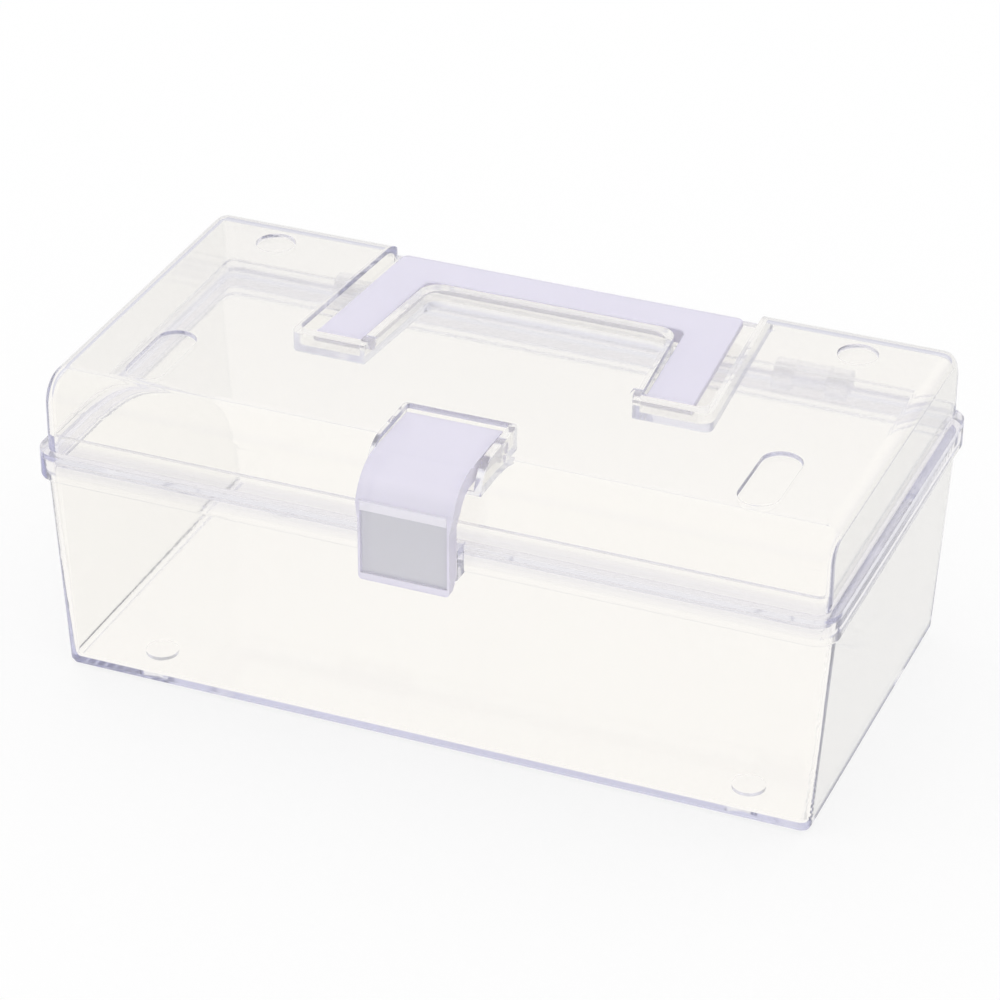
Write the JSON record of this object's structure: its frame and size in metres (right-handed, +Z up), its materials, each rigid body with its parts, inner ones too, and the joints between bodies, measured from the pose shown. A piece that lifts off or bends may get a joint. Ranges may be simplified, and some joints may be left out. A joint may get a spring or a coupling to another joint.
{
  "type": "storage box with handle",
  "caption": "Clear rectangular storage box with drafted walls, a hinged lid, a handle that folds flat into a channel in the lid, and a front snap latch.",
  "frame": {"origin": "centre of the rim in plan, on the surface that the four feet rest on", "axes": "+X towards the right end, +Y towards the back hinge, +Z up; the latch is on the -Y side"},
  "size_m": [0.27, 0.1633, 0.109],
  "materials": {
    "clear_plastic": "clear moulded plastic, glossy outside, slightly hazy",
    "tinted_plastic": "clear moulded plastic with a faint lilac tint, satin"
  },
  "bodies": {
    "tub": {"tub": "clear_plastic", "hinge_pin_left": "clear_plastic", "hinge_pin_right": "clear_plastic"},
    "lid": {"lid": "clear_plastic"},
    "handle": {"handle": "tinted_plastic"},
    "latch": {"latch": "tinted_plastic"}
  },
  "joints": [
    {"name": "lid_hinge", "type": "hinge", "parent": "tub", "child": "lid", "pos_m": [0, 0.0764, 0.0806], "axis": [-1, 0, 0], "range_deg": [0, 110]},
    {"name": "handle_hinge", "type": "hinge", "parent": "lid", "child": "handle", "pos_m": [0, -0.0022, 0.1051], "axis": [1, 0, 0], "range_deg": [0, 95]},
    {"name": "latch_hinge", "type": "hinge", "parent": "lid", "child": "latch", "pos_m": [0, -0.046, 0.103], "axis": [-1, 0, 0], "range_deg": [0, 60]}
  ]
}
